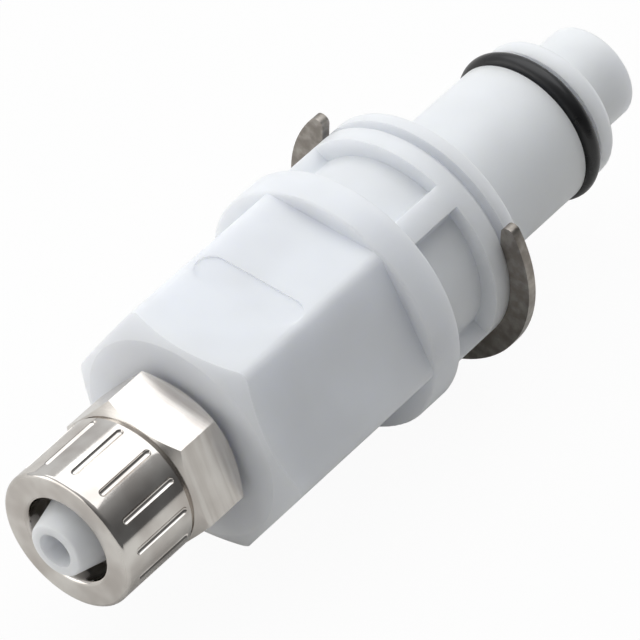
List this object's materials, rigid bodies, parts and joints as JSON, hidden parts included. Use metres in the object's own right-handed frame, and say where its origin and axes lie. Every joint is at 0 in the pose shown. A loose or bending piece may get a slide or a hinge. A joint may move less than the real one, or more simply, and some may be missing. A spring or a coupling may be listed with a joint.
{
  "type": "quick disconnect coupling insert",
  "caption": "Panel-mount quick disconnect insert for soft tubing: valved white plastic body with a hexagon, O-ring nose, steel retaining clip and nickel-plated tube nut.",
  "frame": {"origin": "on the flow axis, on the shoulder where the shaft leaves the neck", "axes": "+X along the flow axis towards the nose, +Z square to the flat of the hexagon that carries the bare strip"},
  "size_m": [0.078, 0.0276, 0.0266],
  "materials": {
    "housing_plastic": "natural white moulded plastic, satin, slightly translucent",
    "stem_plastic": "natural white moulded plastic, satin, slightly translucent",
    "poppet_plastic": "natural white moulded plastic, satin",
    "seal_rubber": "black moulded rubber, slightly greased",
    "spring_steel": "drawn stainless spring wire",
    "nut_plating": "bright nickel plating, turned end face, drawn flats",
    "clip_steel": "punched stainless strip, dull faces and bright cut edge"
  },
  "bodies": {
    "housing": {"body_housing": "housing_plastic", "front_stem": "stem_plastic", "nose_o_ring": "seal_rubber", "valve_spring": "spring_steel"},
    "poppet": {"valve_poppet": "poppet_plastic", "poppet_seal": "seal_rubber"},
    "nut": {"tube_nut": "nut_plating"},
    "clip": {"retaining_clip": "clip_steel"}
  },
  "joints": [
    {"name": "poppet_slide", "type": "slide", "parent": "housing", "child": "poppet", "axis": [-1, 0, 0], "range_m": [0, 0.003], "stiffness_N_per_m": 600, "springref_m": -0.006, "deforming": ["valve_spring"]},
    {"name": "nut_back_off", "type": "slide", "parent": "housing", "child": "nut", "axis": [-1, 0, 0], "range_m": [0, 0.008]},
    {"name": "clip_turn", "type": "hinge", "parent": "housing", "child": "clip", "pos_m": [-0.00205, 0, 0], "axis": [1, 0, 0], "continuous": true}
  ]
}
